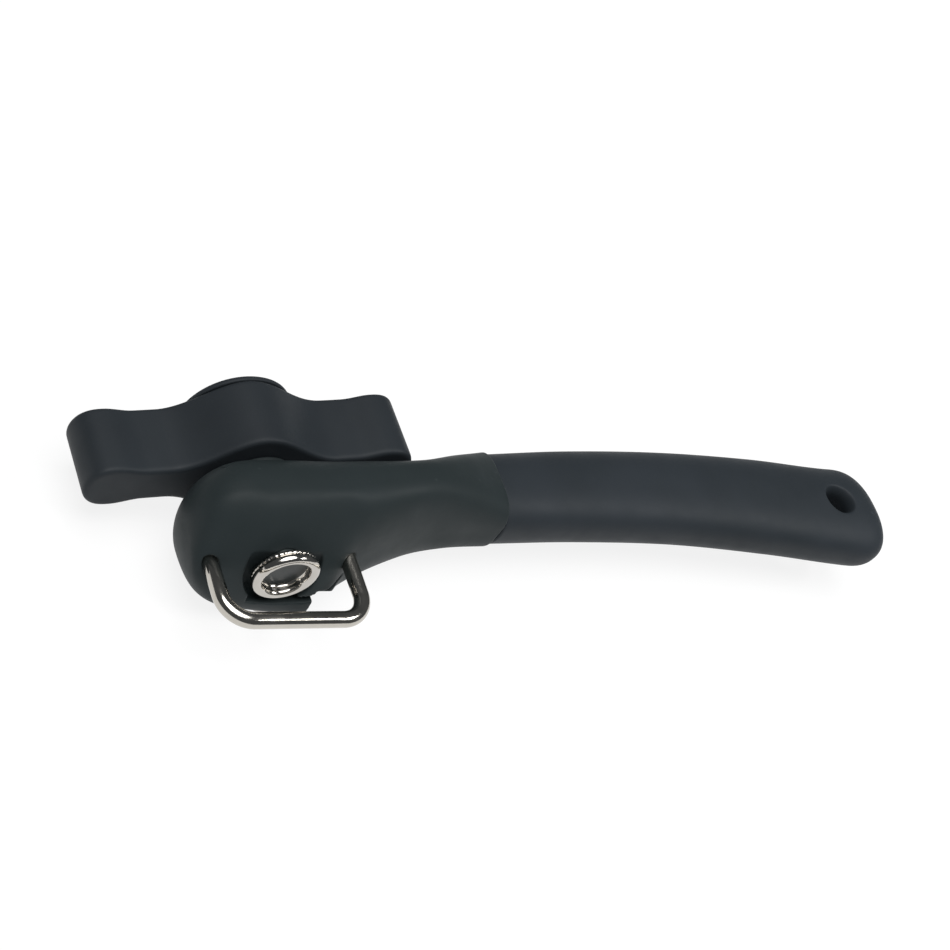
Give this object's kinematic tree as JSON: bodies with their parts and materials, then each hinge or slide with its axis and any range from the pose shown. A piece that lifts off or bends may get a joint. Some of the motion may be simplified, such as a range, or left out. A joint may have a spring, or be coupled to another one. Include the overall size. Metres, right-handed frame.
{
  "type": "manual can opener",
  "caption": "Side-cutting hand can opener with a butterfly turning knob, toothed feed wheel, shielded cutting wheel, steel wire guide and an arched grip with a hanging hole.",
  "frame": {"origin": "centre of the hanging hole, on the middle plane of the grip", "axes": "+X along the handle from the head towards the free end, +Y from the feed wheel towards the knob, +Z through the thickness, out of the broad face"},
  "size_m": [0.2188, 0.0568, 0.0318],
  "materials": {
    "soft_touch_head": "soft-touch charcoal with a slightly green cast, matte",
    "soft_touch_grip": "soft-touch slate grey, matte",
    "soft_touch_knob": "soft-touch slate grey, matte",
    "chrome": "polished nickel-chrome",
    "steel": "zinc-plated steel",
    "hard_steel": "ground hardened steel",
    "brass": "turned brass",
    "nylon": "glass-filled nylon, near black"
  },
  "bodies": {
    "housing": {"head_housing": "soft_touch_head", "rear_cover": "soft_touch_head", "cover_screws": "steel", "bearing_collar": "soft_touch_head", "front_bush": "nylon", "rear_bush": "brass", "bearing_plate": "steel", "plate_spacers": "nylon", "plate_screws": "steel", "carrier_pivot": "steel", "handle_core": "nylon", "handle_grip": "soft_touch_grip", "tang_screw": "steel", "guide_bracket": "chrome"},
    "drive": {"drive_shaft": "hard_steel", "feed_wheel": "chrome", "wheel_plug": "nylon", "shaft_clip": "steel", "friction_washer": "steel", "turning_knob": "soft_touch_knob", "knob_insert": "brass", "knob_screw": "steel", "knob_cap": "soft_touch_knob"},
    "clutch": {"clutch_ring": "brass", "clutch_pin": "steel"},
    "carrier": {"cutter_carrier": "steel", "cutter_axle": "steel", "cutter_spacer": "steel"},
    "cutter": {"cutting_wheel": "hard_steel"}
  },
  "joints": [
    {"name": "knob_turn", "type": "hinge", "parent": "housing", "child": "drive", "pos_m": [-0.1665, -0.0205, 0.00105], "axis": [0, 1, 0], "continuous": true},
    {"name": "cutter_swing", "type": "hinge", "parent": "housing", "child": "carrier", "pos_m": [-0.155, -0.0205, -0.00545], "axis": [0, 1, 0], "range_deg": [0, 6.5]},
    {"name": "clutch_turn", "type": "hinge", "parent": "housing", "child": "clutch", "pos_m": [-0.1665, -0.0205, 0.00105], "axis": [0, 1, 0], "range_deg": [-6, 0]},
    {"name": "cutter_spin", "type": "hinge", "parent": "carrier", "child": "cutter", "pos_m": [-0.1635, -0.0205, -0.01211], "axis": [0, 1, 0], "continuous": true}
  ],
  "couplings": [
    {"joint": "clutch_turn", "follows": "cutter_swing", "ratio": -0.8871}
  ]
}
